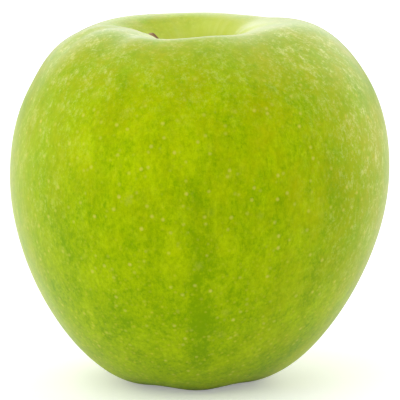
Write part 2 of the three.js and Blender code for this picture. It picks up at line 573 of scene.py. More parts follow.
class SkinPlace:
    """Where a point of the skin lies, with the patterns and zones that several layers share."""

    def __init__(self, shader: Shader, skin: "SkinFinish") -> None:
        """Reads the place from the object's own coordinates.

        Args:
            shader: the material under construction.
            skin: the finish, for its patterns and zones.
        """
        self.shader = shader
        self.x, self.y, self.z = shader.position()
        plan = (self.x * self.x + self.y * self.y) ** 0.5
        self.radius = shader.math("MAXIMUM", plan, skin.core_radius)
        self.east = self.x / self.radius
        self.north = self.y / self.radius
        self.streak = self.around(skin.streak)
        self.mottle = self.cloud(skin.mottle)
        self.fleck = self.cloud(skin.fleck)
        self.haze = self.cloud(skin.haze)
        self.shoulder = shader.tier(self.z, skin.shoulder)
        # the left and right limbs, where a sheen is painted into the green
        self.sheen_limb = shader.tier(self.east * self.east, skin.sheen_limb) * shader.tier(self.z, skin.sheen_limb_top)
        self.in_crown = shader.tier(self.radius, skin.crown) * shader.tier(self.z, skin.crown_base)
        self.in_basin = shader.tier(self.radius, skin.basin) * shader.tier(self.z, skin.basin_top)

    def cloud(self, grain: Grain) -> Value:
        """Noise whose blobs are measured in millimetres."""
        place = self.shader.vector(self.x / grain.wide, self.y / grain.wide, self.z / grain.tall)
        return self.shader.noise(place, grain)

    def around(self, grain: Grain) -> Value:
        """Noise that runs up the skin.

        Args:
            grain: the pattern, whose width is the number of blobs round the girth.

        Returns:
            The noise.
        """
        reach = grain.wide / TURN
        place = self.shader.vector(self.east * reach, self.north * reach, self.z / grain.tall)
        return self.shader.noise(place, grain)

    def cells(self, spacing: float) -> tuple[Value, Value]:
        """The distance to the nearest of some scattered points, and that point's own random number."""
        return self.shader.cells(self.shader.vector(self.x / spacing, self.y / spacing, self.z / spacing))


@dataclass(frozen=True)
class SkinFinish:
    """Waxy green skin: marbling, faint streaks, a pale film, fine pale dots, and russet at the stem."""

    deep: Colour = (0.194, 0.348, 0.0004)
    bright: Colour = (0.420, 0.560, 0.0010)
    olive: Colour = (0.430, 0.440, 0.0010)
    # the pale film's colour, which also stands for a painted sheen
    film_and_sheen: Colour = (0.750, 0.750, 0.290)
    dot: Colour = (0.640, 0.590, 0.085)
    speck: Colour = (0.640, 0.560, 0.050)
    # the cavity wall's paler skin, lightened further as painted light
    pale_lit_wall: Colour = (0.545, 0.630, 0.070)
    wall_ray: Colour = (0.640, 0.700, 0.180)
    russet: Colour = (0.30, 0.20, 0.07)

    # patterns
    broad: Grain = Grain(26, 30, detail=1)
    streak: Grain = Grain(40, 30, shift=3.1)
    mottle: Grain = Grain(8, 13, detail=6, roughness=0.93, shift=11.3)
    fleck: Grain = Grain(0.8, 1.2, detail=3, roughness=0.8, shift=2.3)
    haze: Grain = Grain(2.6, 3.8, detail=5, roughness=0.95, shift=19.1)
    warm: Grain = Grain(7, 9, detail=5, roughness=0.85, shift=7.7)
    rays: Grain = Grain(46, 40, detail=3, roughness=0.6, shift=5.2)
    patch: Grain = Grain(30, 3, detail=3, roughness=0.7, shift=9.4)
    pores: Grain = Grain(0.5, 0.5)

    # zones, by distance from the core line, by height, or by the share of the way east or north
    core_radius: float = 0.2
    crown: Tier = Tier(18.0, 9.0)
    crown_base: Tier = Tier(43.2, 50.4)
    basin: Tier = Tier(9.8, 3.92)
    basin_top: Tier = Tier(14, 10)
    shoulder: Tier = Tier(54, 72)
    sheen_limb: Tier = Tier(0.50, 0.85)
    sheen_limb_top: Tier = Tier(60, 42)

    # the green: weights of the broad, streaked, marbled and flecked patterns, and painted light and shade by
    # height
    green_weights: tuple[float, ...] = (0.5, 0.55, 5.2, 2.6)
    green_span: Span = (-1.6, 1.6)
    # painted light and shade by height: lighter at the foot, shaded low on the body, lit on the upper body
    # and shaded on the shoulder
    painted_height_shading: tuple[Tier, ...] = (
        Tier(14, 3, 0.7),
        Tier(36, 20, -0.3),
        Tier(42, 52, 0.5),
        Tier(54, 64, -0.2),
    )
    # painted sheen: how much lighter the green is at the left and right limbs
    painted_limb_sheen: float = 0.7
    bands: tuple[Band, ...] = (
        Band(facing=-89.5, half_width=2.4, strength=1.00, low=4, high=48),
        Band(facing=-63.0, half_width=2.0, strength=0.35, low=20, high=56),
        Band(facing=-45.0, half_width=2.6, strength=0.50, low=36, high=50),
        Band(facing=-119.0, half_width=2.2, strength=0.35, low=32, high=62),
        Band(facing=-58.0, half_width=7.0, strength=0.90, low=58, high=64),
        # a wide low band at the front right: painted shade on the lower right, not a stripe of the skin
        Band(facing=-47.0, half_width=8.0, strength=0.80, low=0, high=14),
        Band(facing=62.0, half_width=3.0, strength=0.60, low=12, high=60),
        Band(facing=158.0, half_width=2.5, strength=0.50, low=10, high=50),
    )

    # the olive tinge
    warm_span: Span = (-0.20, 0.5)
    warm_least: float = 0.14
    warm_height: Tier = Tier(15, 65, 0.50)
    warm_east: Tier = Tier(-0.1, 0.7, 0.35)
    warm_west: Tier = Tier(0.2, -0.4, 0.40)
    # painted sheen: how much warmer the green is at the limbs
    painted_limb_tinge: float = 0.35

    # the pale film, partly a painted sheen laid thickest towards the sides and the shoulder and thin behind:
    # where it lies, and the weights of the hazy, marbled and flecked patterns
    film_and_sheen_least: float = 0.01
    film_and_sheen_shoulder: float = 0.26
    film_and_sheen_flank: Tier = Tier(-0.97, -0.75, 0.16)
    film_and_sheen_lift: Tier = Tier(8, 50)
    film_and_sheen_side: Tier = Tier(-0.92, -0.50, 0.30)
    film_and_sheen_east: Tier = Tier(0.60, 0.92, 0.30)
    film_and_sheen_shared: float = 0.5
    film_and_sheen_back: Tier = Tier(-0.45, 0.20, 0.72)
    film_and_sheen_hiding: Tier = Tier(0.0, 0.36)
    film_and_sheen_calm: float = 0.60
    film_and_sheen_darkening: float = 0.56
    fog_weights: tuple[float, ...] = (5.4, 2.2, 2.2)
    fog_span: Span = (-0.55, 1.7)

    # spots
    dots: Spots = Spots(2.2, (0.26, 0.04), 0.72)
    dot_fray: float = 0.12
    dot_kinds: Span = (0.3, 0.7)
    dot_thinning: float = 0.5
    specks: Spots = Spots(1.15, (0.40, 0.08))
    speck_least: float = 0.12
    speck_height: Tier = Tier(42, 4, 0.45)
    clouds: Spots = Spots(6.5, (0.20, 0.02), 0.22)
    cloud_fray: float = 0.25

    # the cavity and the basin
    ray_span: Span = (-0.5, 0.9)
    crown_cover: float = 0.85
    basin_cover: float = 0.5
    scuff: Tier = Tier(6.5, 3.0)
    scuff_base: Tier = Tier(50, 54)
    scuff_fray: float = 2.5
    scuff_cover: float = 0.8

    # sheen and relief: weights of the haze, the pores and the dots
    roughness: float = 0.30
    haze_roughness: float = 0.04
    scuff_roughness: float = 0.3
    crest_coat: Tier = Tier(61, 72, 0.65)
    relief_weights: tuple[float, ...] = (0.8, 0.3, 0.8)
    relief_depth: float = 0.03
    relief_strength: float = 0.6

    def material(self) -> bpy.types.Material:
        """Builds the material.

        Returns:
            The material of the skin.
        """
        shader = Shader("green_apple_skin")
        place = SkinPlace(shader, self)
        film_and_sheen = self.film_and_sheen_amount(place)
        dots = self.dot_cover(place)
        scuff = self.scuff_amount(place)
        colour = self.with_film_and_sheen(place, self.green(place, film_and_sheen), film_and_sheen)
        colour = self.spotted(place, colour, dots)
        colour = self.walled(place, colour)
        colour = shader.mix(scuff * self.scuff_cover, colour, self.russet)
        relief = shader.weighted((place.haze, place.cloud(self.pores), dots), self.relief_weights)
        return shader.finish(
            Base_Color=colour,
            Roughness=self.roughness + place.haze * self.haze_roughness + scuff * self.scuff_roughness,
            Specular_IOR_Level=0.14,
            Specular_Tint=(0.8, 1.0, 0.0),
            Coat_Weight=shader.tier(place.z, self.crest_coat),
            Coat_Roughness=0.26,
            Coat_IOR=1.22,
            Subsurface_Weight=0.08,
            Subsurface_Radius=(2.0, 1.6, 0.4),
            Subsurface_Scale=MM,
            Normal=shader.bump(relief, depth=self.relief_depth, strength=self.relief_strength),
        )

    def film_and_sheen_amount(self, place: SkinPlace) -> Value:
        """How much of the pale film and its painted sheen lies on a place: most on the shoulder and the
        sides, little behind.

        Args:
            place: the place on the skin.

        Returns:
            The share of the film and painted sheen.
        """
        shader = place.shader
        shoulder = place.shoulder * (self.film_and_sheen_shoulder + shader.tier(place.north, self.film_and_sheen_flank))
        # painted sheen: the film is laid thicker on the sides and on the east side
        sides = shader.tier(place.north, self.film_and_sheen_side) + shader.tier(place.east, self.film_and_sheen_east)
        sides = sides * shader.tier(place.z, self.film_and_sheen_lift) * (1 - place.shoulder * self.film_and_sheen_shared)
        amount = shoulder + sides + self.film_and_sheen_least
        return amount * (1 - shader.tier(place.north, self.film_and_sheen_back))

    def green(self, place: SkinPlace, film_and_sheen: Value) -> Value:
        """The marbled green under the film and painted sheen, darker in the stripes and in a band of painted
        shade, tinged olive, with a painted sheen at the limbs and painted light and shade by height.

        Args:
            place: the place on the skin.
            film_and_sheen: how much of the film and painted sheen lies there.

        Returns:
            The colour.
        """
        shader = place.shader
        # the green is darker and calmer where the film and painted sheen lie thick
        hidden = shader.tier(film_and_sheen, self.film_and_sheen_hiding)
        patterns = (place.cloud(self.broad), place.streak, place.mottle, place.fleck)
        tone = shader.weighted(patterns, self.green_weights) * (1 - hidden * self.film_and_sheen_calm)
        # painted sheen: the green is lighter at the left and right limbs
        tone = tone - hidden * self.film_and_sheen_darkening + place.sheen_limb * self.painted_limb_sheen
        # painted light and shade by height
        for tier in self.painted_height_shading:
            tone = tone + shader.tier(place.z, tier)
        for band in self.bands:
            tone = tone - band.amount(place)
        colour = shader.mix(shader.span(tone, *self.green_span), self.deep, self.bright)

        warmth = self.warm_least + shader.tier(place.z, self.warm_height)
        # painted sheen: the limbs are tinged warmer
        warmth = warmth + shader.tier(place.east, self.warm_east) + place.sheen_limb * self.painted_limb_tinge
        warmth = warmth + place.shoulder * shader.tier(place.east, self.warm_west)
        warm = shader.span(place.cloud(self.warm), *self.warm_span)
        return shader.mix(warm * warmth, colour, self.olive)

    def with_film_and_sheen(self, place: SkinPlace, colour: Value, film_and_sheen: Value) -> Value:
        """Lays the broken pale film, which is partly a painted sheen, over a colour.

        Args:
            place: the place on the skin.
            colour: the colour under the film and sheen.
            film_and_sheen: how much of the film and painted sheen lies there.

        Returns:
            The colour with the film and painted sheen.
        """
        shader = place.shader
        fog = shader.weighted((place.haze, place.mottle, place.fleck), self.fog_weights)
        fog = shader.span(fog, *self.fog_span)
        return shader.mix(fog * fog * film_and_sheen, colour, self.film_and_sheen)

    def dot_cover(self, place: SkinPlace) -> Value:
        """How much a dot covers a place.

        Args:
            place: the place on the skin.

        Returns:
            The cover, with a strength of its own for each dot, and less of it on the shoulder.
        """
        least, more = self.dot_kinds
        cover, kind = self.dots.amount(place, place.fleck * self.dot_fray)
        return cover * (least + kind * more) * (1 - place.shoulder * self.dot_thinning)

    def spotted(self, place: SkinPlace, colour: Value, dots: Value) -> Value:
        """Lays the specks, the dots and the larger clouds over a colour.

        Args:
            place: the place on the skin.
            colour: the colour under the spots.
            dots: the cover of the dots.

        Returns:
            The colour with the spots.
        """
        shader = place.shader
        specks, speck_kind = self.specks.amount(place)
        share = self.speck_least + shader.tier(place.z, self.speck_height)
        clouds, cloud_kind = self.clouds.amount(place, place.haze * self.cloud_fray)
        colour = shader.mix(specks * speck_kind * share * self.specks.opacity, colour, self.speck)
        colour = shader.mix(dots * self.dots.opacity, colour, self.dot)
        return shader.mix(clouds * cloud_kind * self.clouds.opacity, colour, self.dot)

    def walled(self, place: SkinPlace, colour: Value) -> Value:
        """Lays the paler rayed skin of the cavity and the basin over a colour; its paleness is partly painted
        light.

        Args:
            place: the place on the skin.
            colour: the colour outside them.

        Returns:
            The colour with the walls.
        """
        shader = place.shader
        pale_lit_wall = shader.mix(shader.span(place.around(self.rays), *self.ray_span), self.pale_lit_wall, self.wall_ray)
        colour = shader.mix(place.in_crown * self.crown_cover, colour, pale_lit_wall)
        return shader.mix(place.in_basin * self.basin_cover, colour, pale_lit_wall)

    def scuff_amount(self, place: SkinPlace) -> Value:
        """How russeted a place round the stem is."""
        frayed = place.radius + place.around(self.patch) * self.scuff_fray
        return place.shader.tier(frayed, self.scuff) * place.shader.tier(place.z, self.scuff_base)


@dataclass(frozen=True)
class BarkFinish:
    """Dry bark of the stem: long ridges, darker where it is old and green-brown at its root."""

    dark: Colour = (0.150, 0.075, 0.030)
    light: Colour = (0.42, 0.260, 0.105)
    young: Colour = (0.30, 0.26, 0.07)
    scar: Colour = (0.40, 0.27, 0.15)
    ridges: Grain = Grain(1 / 2.6, 1 / 3, detail=4, roughness=0.6)
    specks: Grain = Grain(1 / 3, 1 / 34, detail=3, shift=4.0)
    speck_weight: float = 0.5
    light_span: Tier = Tier(-0.7, 0.8)
    young_part: Tier = Tier(0.42, 0.2, 0.7)
    scar_part: Tier = Tier(0.955, 0.98, 0.8)
    roughness: float = 0.72
    ridge_roughness: float = 0.1
    speck_relief: float = 0.35
    relief_depth: float = 0.12
    relief_strength: float = 0.7

    def material(self) -> bpy.types.Material:
        """Builds the material.

        Returns:
            The material of the stem.
        """
        shader = Shader("stem_bark")
        split = shader.node("SeparateXYZ", inputs={0: shader.value(shader.node("TexCoord"), "UV")})
        along, angle = shader.value(split, 0), shader.value(split, 1) * TURN
        rim = shader.math("COSINE", angle), shader.math("SINE", angle)

        def pattern(grain: Grain) -> Value:
            """Noise on the rod, with its width as a share of the radius and its height of the length."""
            place = shader.vector(rim[0] / grain.wide, rim[1] / grain.wide, along / grain.tall)
            return shader.noise(place, grain)

        ridge, speck = pattern(self.ridges), pattern(self.specks)
        lit = shader.tier(ridge + speck * self.speck_weight, self.light_span)
        colour = shader.mix(lit, self.dark, self.light)
        colour = shader.mix(shader.tier(along, self.young_part), colour, self.young)
        colour = shader.mix(shader.tier(along, self.scar_part), colour, self.scar)
        relief = ridge + speck * self.speck_relief
        return shader.finish(
            Base_Color=colour,
            Roughness=self.roughness + ridge * self.ridge_roughness,
            Specular_IOR_Level=0.3,
            Normal=shader.bump(relief, depth=self.relief_depth, strength=self.relief_strength),
        )


@dataclass(frozen=True)
class HuskFinish:
    """Dried flower tissue: grey-brown, fibrous, with paler down."""

    dark: Colour = (0.060, 0.038, 0.020)
    light: Colour = (0.24, 0.17, 0.09)
    down: Colour = (0.42, 0.38, 0.28)
    downy: float = 0.35
    fibres: Grain = Grain(0.5, 1.6, detail=3, roughness=0.65)
    patches: Grain = Grain(1.7, 1.7, shift=6.0)
    light_span: Tier = Tier(-0.8, 0.9)
    down_span: Tier = Tier(-0.1, 0.6)
    roughness: float = 0.85
    fibre_roughness: float = 0.05
    relief_depth: float = 0.08
    relief_strength: float = 0.8

    def material(self, name: str) -> bpy.types.Material:
        """Builds the material.

        Args:
            name: the material's name.

        Returns:
            The material of the calyx.
        """
        shader = Shader(name)
        x, y, z = shader.position()

        def pattern(grain: Grain) -> Value:
            """Noise whose blobs are measured in millimetres."""
            return shader.noise(shader.vector(x / grain.wide, y / grain.wide, z / grain.tall), grain)

        fibre, patch = pattern(self.fibres), pattern(self.patches)
        colour = shader.mix(shader.tier(fibre + patch, self.light_span), self.dark, self.light)
        colour = shader.mix(shader.tier(patch, self.down_span) * self.downy, colour, self.down)
        return shader.finish(
            Base_Color=colour,
            Roughness=self.roughness + fibre * self.fibre_roughness,
            Specular_IOR_Level=0.2,
            Normal=shader.bump(fibre, depth=self.relief_depth, strength=self.relief_strength),
        )


# ---------------------------------------------------------------- the apple


@dataclass
class Fruit:
    """The fruit: a turned outline that is lobed, waved and leaned by formula."""

    girth_radius: float = 38.0
    girth_height: float = 42.85
    crown_radius: float = 18.29
    crown_height: float = 72.0
    crown_low: float = 60.0
    cavity_floor: float = 56.0
    foot_radius: float = 9.8
    basin_floor: float = 8.0
    foot_flat: float = 0.25
    lean: float = 0.019
    stem_seat: float = 1.8
    calyx_seat: float = 2.7

    # how far each bend of the outline is held level, upright or sloping
    eye_radii: Span = (1.2, 2.0)
    eye_rises: Span = (0.9, 0.4)
    basin_out: float = 2.3
    basin_down: float = 0.6
    basin_in: float = 4.4
    cheek_out: float = 13.3
    cheek_up: float = 0.6
    cheek_down: float = 19.6
    shoulder_up: float = 18.6
    shoulder_out: float = 8.2
    cavity_in: float = 10.7
    cavity_out: float = 4.0
    cavity_up: float = 1.0
    pit_radii: Span = (1.2, 0.7)
    pit_dips: Span = (0.2, 0.6)
    rings: tuple[int, ...] = (16, 18, 30, 22, 26, 4)
    segments: int = 160

    base_lobes: Wave = Wave(5, 0.017, -84)
    lobe_taper: float = 5.0
    lobe_lift: float = 0.55
    lobe_reach: float = 3.5
    girth_waves: tuple[Wave, ...] = (Wave(2, 0.001, 90), Wave(3, 0.018, -7))
    crown_waves: tuple[Wave, ...] = (
        Wave(1, 0.29, 49),
        Wave(2, 0.37, 33),
        Wave(3, 0.39, -30),
        Wave(4, 0.34, 21),
        Wave(5, 0.28, -10),
        Wave(6, 0.15, 25),
    )
    crown_drifts: tuple[Wave, ...] = (
        Wave(1, 1.87, 162),
        Wave(2, 0.67, 8),
        Wave(3, 1.41, 18),
        Wave(4, 0.18, 22),
    )
    crown_ridges: tuple[Ridge, ...] = (
        Ridge(-40, 0.23, 21, 44),
        Ridge(-123, 0.62, 8, 25),
        Ridge(43, -0.16, 7, 7),
        Ridge(-157, -0.87, 8, 40),
    )
    crown_shelves: tuple[Ridge, ...] = (Ridge(-154, 2.74, 28, 32), Ridge(9, 4.26, 24, 40))
    shelf_size: float = 9.5
    front_lip: Ridge = Ridge(-88, 0.42, 42, 36)
    lip_width: float = 2.1

    cavity_furrows: tuple[Wave, ...] = (Wave(7, 0.16, 20), Wave(11, 0.12, -47), Wave(19, 0.06, 8))
    cavity_roughness: Relief = Relief(1 / 3.2, 6, 0.25)
    cavity_calm: tuple[float, ...] = (8, 1.5, 5)
    basin_folds: tuple[Wave, ...] = (Wave(5, 0.40, -48), Wave(10, 0.22, -84), Wave(17, 0.10, 12))
    basin_roughness: Relief = Relief(1 / 3, 3, 0.3)
    basin_calm: tuple[float, ...] = (7, 2.0, 4.2)
    cheek_dents: Relief = Relief(13, 17, 0.16, shift=4)
    cheek_ribs: Relief = Relief(1 / 4.5, 40, 0.10, shift=9)
    foot_calm: float = 5.0
    offset: Vector = field(default_factory=Vector)

    def outline(self) -> list[Vector]:
        """The outline from the middle of the basin round to the middle of the cavity.

        Returns:
            Points with the radius in x and the height in z.
        """
        eye, foot, girth, crown, seat = (
            (self.calyx_seat, self.basin_floor),
            (self.foot_radius, 0),
            (self.girth_radius, self.girth_height),
            (self.crown_radius, self.crown_height),
            (self.stem_seat, self.cavity_floor),
        )
        domes = [(radius, eye[1] + rise) for radius, rise in zip(self.eye_radii, self.eye_rises)]
        dips = [(radius, seat[1] - dip) for radius, dip in zip(self.pit_radii, self.pit_dips)]
        basin = (eye[0] + self.basin_out, eye[1] - self.basin_down), (foot[0] - self.basin_in, 0)
        cheek = (foot[0] + self.cheek_out, self.cheek_up), (girth[0], girth[1] - self.cheek_down)
        shoulder = (girth[0], girth[1] + self.shoulder_up), (crown[0] + self.shoulder_out, crown[1])
        cavity = (crown[0] - self.cavity_in, crown[1]), (seat[0] + self.cavity_out, seat[1] + self.cavity_up)
        stretches = (
            ((0, domes[0][1]), *domes, eye),
            (eye, *basin, foot),
            (foot, *cheek, girth),
            (girth, *shoulder, crown),
            (crown, *cavity, seat),
            (seat, *dips, (0, dips[1][1])),
        )
        points = []
        for steps, corners in zip(self.rings, stretches, strict=True):
            curve = interpolate_bezier(*(Vector((r, 0, z)) for r, z in corners), steps + 1)
            points += curve[:-1]
        return [*points, curve[-1]]

    def build(self) -> bpy.types.Object:
        """Builds the skin.

        Returns:
            The skin, one closed mesh.
        """
        mesh = bmesh.new()
        verts = [mesh.verts.new(point) for point in self.outline()]
        for first, second in zip(verts, verts[1:]):
            mesh.edges.new((first, second))
        bmesh.ops.spin(
            mesh,
            geom=[*mesh.verts, *mesh.edges],
            cent=(0, 0, 0),
            axis=(0, 0, 1),
            angle=TURN,
            steps=self.segments,
            use_merge=True,
        )
        bmesh.ops.remove_doubles(mesh, verts=mesh.verts, dist=SEAM)
        for vert in mesh.verts:
            vert.co = self.grown(vert.co)
        low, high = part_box("fruit")
        middle = (low + high) / 2 / MM
        sides = [(min(v.co[k] for v in mesh.verts), max(v.co[k] for v in mesh.verts)) for k in (0, 1)]
        self.offset = Vector((middle.x - sum(sides[0]) / 2, middle.y - sum(sides[1]) / 2, 0))
        bmesh.ops.translate(mesh, verts=mesh.verts, vec=self.offset)
        piece = finish_mesh(mesh, "apple_skin")
        add_modifiers(piece)
        return piece

    def core_at(self, height: float) -> float:
        """Sideways place of the leaning core line at a height."""
        return self.lean * (height - self.girth_height)

    def on_core(self, height: float) -> Vector:
        """The place of the core line at a height of the turned fruit."""
        return Vector((self.core_at(height), 0, height - self.foot_flat)) + self.offset

    def grown(self, point: Vector) -> Vector:
        """Moves a point of the plain turned fruit to its place on the grown one.

        Args:
            point: a point of the turned outline.

        Returns:
            The moved point.
        """
        radius = math.hypot(point.x, point.y)
        bearing = math.degrees(math.atan2(point.y, point.x))
        out = Vector((point.x, point.y, 0)).normalized()
        upper = point.z > self.girth_height
        in_cavity = upper and radius < self.crown_radius
        in_basin = not upper and radius < self.foot_radius
        from_core = smoothstep(radius, 0, self.crown_radius if in_cavity else self.foot_radius)
        crown = from_core if in_cavity else smoothstep(point.z, self.girth_height, self.crown_height)
        crest = from_core if in_cavity else smoothstep(point.z, self.crown_low, self.crown_height)
        base = from_core if in_basin else 1 - smoothstep(point.z, 0, self.girth_height)
        foot = from_core if in_basin else 1 - smoothstep(point.z, 0, self.lobe_reach)

        lobe = self.base_lobes.at(bearing)
        swell = 1 + lobe * base**self.lobe_taper
        swell += total(self.girth_waves, bearing) * (from_core if in_cavity or in_basin else 1)
        drift = crest * total(self.crown_drifts, bearing)
        if in_cavity:
            drift -= self.shelf_share(from_core) * total(self.crown_shelves, bearing)

        height = point.z + foot * self.lobe_lift * (1 - lobe / self.base_lobes.size) / 2
        height += crown * total(self.crown_waves, bearing)
        height += crest * total(self.crown_ridges, bearing)
        if upper:
            across = (radius - self.crown_radius) / self.lip_width
            height += self.front_lip.at(bearing) * math.exp(-across * across)
        moved = Vector((point.x * swell, point.y * swell, height)) + out * drift
        moved += self.unevenness(point, radius, bearing, in_cavity, in_basin)
        moved.x += self.core_at(height)
        moved.z = max(moved.z - self.foot_flat, 0)
        return moved

    def shelf_share(self, from_core: float) -> float:
        """How much of a shelf's width the cavity wall takes: none at the crest, all of it a little below."""
        return self.shelf_size * from_core**3 * (1 - from_core)

    def unevenness(
        self, point: Vector, radius: float, bearing: float, in_cavity: bool, in_basin: bool
    ) -> Vector:
        """The small relief: soft dents of the cheek, furrows in the cavity and puckers in the basin.

        Args:
            point: a point of the turned outline.
            radius: its distance from the core line.
            bearing: its bearing in degrees.
            in_cavity: whether it lies in the stem cavity.
            in_basin: whether it lies in the calyx basin.

        Returns:
            How far the point moves.
        """
        out = Vector((point.x, point.y, 0)).normalized()
        if in_cavity:
            furrow = total(self.cavity_furrows, bearing) + self.cavity_roughness.at(out, point.z)
            return Vector((0, 0, furrow * self.wall_share(radius, self.crown_radius, self.cavity_calm)))
        if in_basin:
            pucker = total(self.basin_folds, bearing) + self.basin_roughness.at(out, point.z)
            return out * pucker * self.wall_share(radius, self.foot_radius, self.basin_calm)
        dent = self.cheek_dents.at(point, point.z) + self.cheek_ribs.at(out, point.z)
        return out * dent * smoothstep(point.z, 0, self.foot_calm)

    @staticmethod
    def wall_share(radius: float, rim: float, calm: Sequence[float]) -> float:
        """How much relief a hollow's wall takes, which fades out at its rim and at the piece in its middle.

        Args:
            radius: the distance from the core line.
            rim: the radius of the rim.
            calm: the radius where the relief is full on the rim's side, none in the middle, and full again.

        Returns:
            The share from 0 to 1.
        """
        full_outside, none_inside, full_inside = calm
        return smoothstep(radius, rim, full_outside) * smoothstep(radius, none_inside, full_inside)

    def dress(self, piece: bpy.types.Object) -> None:
        """Gives the skin its finish and its place in the part."""
        piece.data.materials.append(SkinFinish().material())
        attach(piece, ["fruit"])


@dataclass(frozen=True)
class Flute:
    """A ridge that runs up the stem: how many there are, their height, and their turn from root to tip."""

    count: int
    size: float
    twist: float

    def at(self, along: float, angle: float) -> float:
        """Height of the ridges at a place, given the fraction along and the angle round."""
        return self.size * math.cos(self.count * angle + along * self.twist)


@dataclass
class Stem:
    """The woody stem that bends over to the left and ends in a swollen scar."""

    root_depth: float = 3.7
    radius: float = 1.15
    root_radius: float = 1.55
    tip_radius: float = 1.5
    rise: float = 6.0
    bend: Vector = field(default_factory=lambda: Vector((-5.7, 1.7, 9.5)))
    reach: Vector = field(default_factory=lambda: Vector((-10.4, 3.0, 13.3)))
    root_fade: Span = (0.15, 0.4)
    tip_fade: Span = (0.72, 0.95)
    rim_fade: Span = (0.965, 1.0)
    rim_rounding: float = 0.55
    flutes: tuple[Flute, ...] = (Flute(5, 0.07, 2.5), Flute(9, 0.04, -4.0))
    knots: Relief = Relief(1, 1 / 9, 0.16)

    def build(self, fruit: Fruit) -> bpy.types.Object:
        """Builds the stem in the cavity of the fruit.

        Args:
            fruit: the fruit that it grew from.

        Returns:
            The stem.
        """
        corners = (Vector((0, 0, -self.root_depth)), Vector((0, 0, self.rise)), self.bend, self.reach)
        mesh = bmesh.new()
        mesh.loops.layers.uv.new("bark")
        add_tube(mesh, corners, self.thickness, sides=28, steps=72)
        bmesh.ops.translate(mesh, verts=mesh.verts, vec=fruit.on_core(fruit.cavity_floor))
        return finish_mesh(mesh, "woody_stem")

    def thickness(self, along: float, angle: float) -> float:
        """Radius of the stem with its ridges.

        Args:
            along: fraction of the way from the root to the tip.
            angle: angle round the stem, in radians.

        Returns:
            The radius in millimetres.
        """
        plain = self.radius
        plain += (self.root_radius - self.radius) * (1 - smoothstep(along, *self.root_fade))
        plain += (self.tip_radius - self.radius) * smoothstep(along, *self.tip_fade)
        plain -= self.rim_rounding * smoothstep(along, *self.rim_fade)
        ridge = sum(flute.at(along, angle) for flute in self.flutes)
        return plain + ridge + self.knots.at(Vector((math.cos(angle), math.sin(angle), 0)), along)

    def dress(self, piece: bpy.types.Object) -> None:
        """Gives the stem its finish and its place in the part.

        Args:
            piece: the stem.
        """
        piece.data.materials.append(BarkFinish().material())
        add_modifiers(piece)
        attach(piece, ["stem"])


